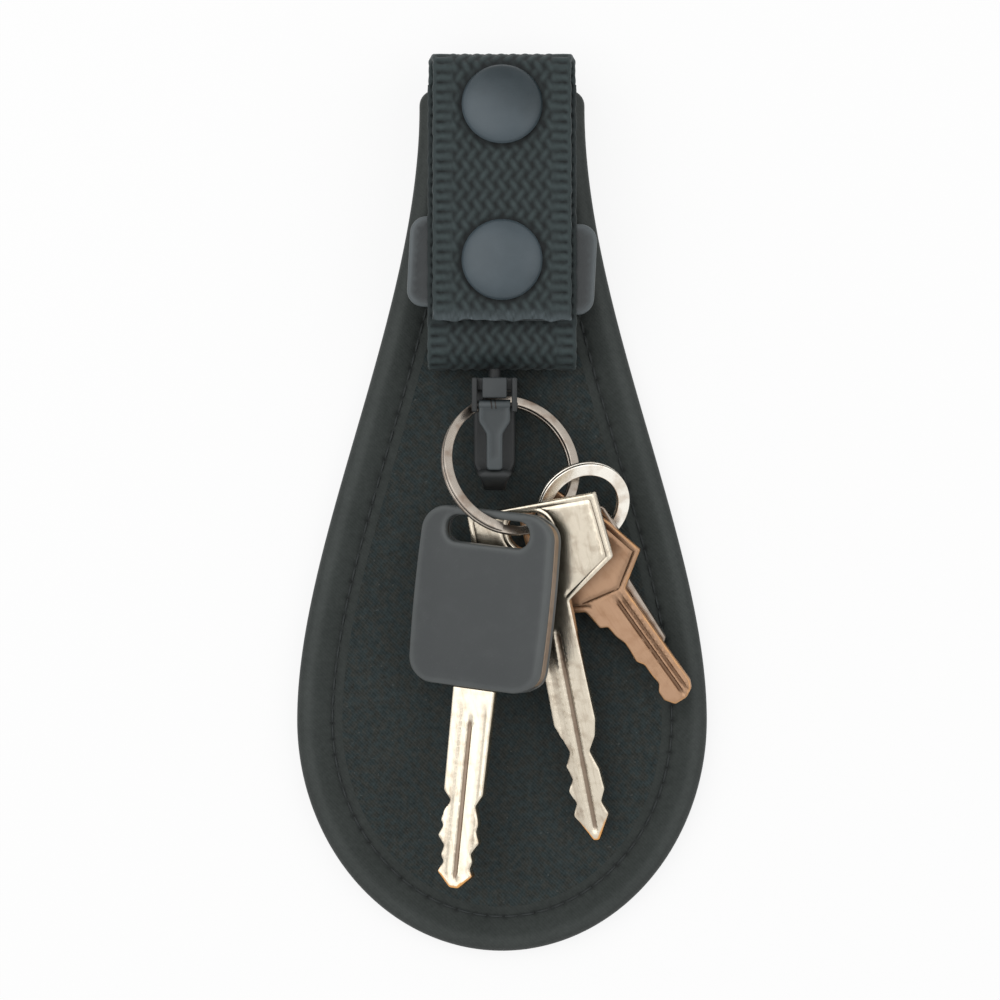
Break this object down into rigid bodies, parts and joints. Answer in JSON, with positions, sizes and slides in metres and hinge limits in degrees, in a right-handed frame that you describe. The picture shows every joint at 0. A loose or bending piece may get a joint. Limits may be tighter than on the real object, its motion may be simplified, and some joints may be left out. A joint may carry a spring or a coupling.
{
  "type": "key ring holder",
  "caption": "Padded pear-shaped belt flap with a snap-open webbing loop, a swivel snap hook and a pile of keys on linked split rings.",
  "frame": {"origin": "middle of the bounding box's bottom face, on the surface that the flap lies on", "axes": "+X to the right, +Y along the flap towards the belt loop, +Z out of the flap's front"},
  "size_m": [0.0778, 0.1694, 0.0253],
  "materials": {
    "flap_front_panel": "black woven nylon",
    "flap_foam_core": "grey felt padding",
    "flap_back_panel": "black woven nylon",
    "flap_edge_binding": "black binding, turned and stitched",
    "belt_loop_back_web": "black nylon webbing",
    "belt_loop_inner_web": "black nylon webbing",
    "belt_loop_outer_web": "black nylon webbing, heat-cut end",
    "stiffener_plate": "moulded black plastic",
    "upper_snap_cap": "dark baked enamel",
    "lower_snap_cap": "dark baked enamel",
    "upper_snap_socket": "plated",
    "lower_snap_socket": "plated",
    "upper_snap_stud": "plated",
    "lower_snap_stud": "plated",
    "upper_snap_post": "plated",
    "lower_snap_post": "plated",
    "hook_eye": "moulded black plastic",
    "hook_body": "moulded black plastic",
    "gate_pin": "plated",
    "hook_gate": "moulded black plastic",
    "gate_spring": "spring steel",
    "split_ring_large": "bright nickel plate",
    "split_ring_small": "bright nickel plate",
    "car_key_head": "moulded, worn",
    "car_key_blade": "nickel silver, worn to brass on the cuts",
    "nickel_key": "nickel silver, worn",
    "brass_key": "worn brass",
    "steel_key": "plated, worn"
  },
  "bodies": {
    "holder": {"flap_front_panel": "flap_front_panel", "flap_foam_core": "flap_foam_core", "flap_back_panel": "flap_back_panel", "flap_edge_binding": "flap_edge_binding", "belt_loop_back_web": "belt_loop_back_web", "belt_loop_inner_web": "belt_loop_inner_web", "stiffener_plate": "stiffener_plate", "upper_snap_stud": "upper_snap_stud", "lower_snap_stud": "lower_snap_stud", "upper_snap_post": "upper_snap_post", "lower_snap_post": "lower_snap_post", "hook_eye": "hook_eye"},
    "closing_strap": {"belt_loop_outer_web": "belt_loop_outer_web", "upper_snap_cap": "upper_snap_cap", "lower_snap_cap": "lower_snap_cap", "upper_snap_socket": "upper_snap_socket", "lower_snap_socket": "lower_snap_socket"},
    "swivel_hook": {"hook_body": "hook_body", "gate_pin": "gate_pin"},
    "gate": {"hook_gate": "hook_gate", "gate_spring": "gate_spring"},
    "main_ring": {"split_ring_large": "split_ring_large"},
    "small_ring": {"split_ring_small": "split_ring_small"},
    "car_key": {"car_key_head": "car_key_head", "car_key_blade": "car_key_blade"},
    "nickel_key_body": {"nickel_key": "nickel_key"},
    "brass_key_body": {"brass_key": "brass_key"},
    "steel_key_body": {"steel_key": "steel_key"}
  },
  "joints": [
    {"name": "strap_open", "type": "hinge", "parent": "holder", "child": "closing_strap", "pos_m": [0, 0.0824, 0.01521], "axis": [-1, 0, 0], "range_deg": [0, 100]},
    {"name": "hook_swivel", "type": "hinge", "parent": "holder", "child": "swivel_hook", "pos_m": [-0.0014, 0.0237, 0.01075], "axis": [0, 1, 0], "range_deg": [-2, 10]},
    {"name": "gate_open", "type": "hinge", "parent": "swivel_hook", "child": "gate", "pos_m": [-0.0014, 0.0186, 0.01855], "axis": [1, 0, 0], "range_deg": [0, 25], "stiffness_Nm_per_rad": 0.001, "springref_deg": -17.19},
    {"name": "main_ring_lift", "type": "hinge", "parent": "holder", "child": "main_ring", "pos_m": [-0.0014, 0.0194, 0.0129], "axis": [-1, 0, 0], "range_deg": [0, 50]},
    {"name": "small_ring_turn", "type": "hinge", "parent": "main_ring", "child": "small_ring", "pos_m": [0.0153, -0.00002, 0.01108], "axis": [0.2703, -0.4384, 0.8572], "range_deg": [-2, 3]},
    {"name": "car_key_slide", "type": "hinge", "parent": "main_ring", "child": "car_key", "pos_m": [0.0016, 0.00748, 0.01588], "axis": [0.3486, 0.309, 0.8849], "range_deg": [-30, 0]},
    {"name": "nickel_key_swing", "type": "hinge", "parent": "main_ring", "child": "nickel_key_body", "pos_m": [0.0052, -0.00469, 0.01746], "axis": [-0.3092, -0.2016, 0.9294], "range_deg": [0, 12]},
    {"name": "brass_key_swing", "type": "hinge", "parent": "small_ring", "child": "brass_key_body", "pos_m": [0.00928, -0.00454, 0.01032], "axis": [-0.1533, -0.0988, 0.9832], "range_deg": [-8, 2]},
    {"name": "steel_key_swing", "type": "hinge", "parent": "small_ring", "child": "steel_key_body", "pos_m": [0.0129, -0.00624, 0.00849], "axis": [-0.15, -0.1038, 0.9832], "range_deg": [-5, 6]}
  ]
}
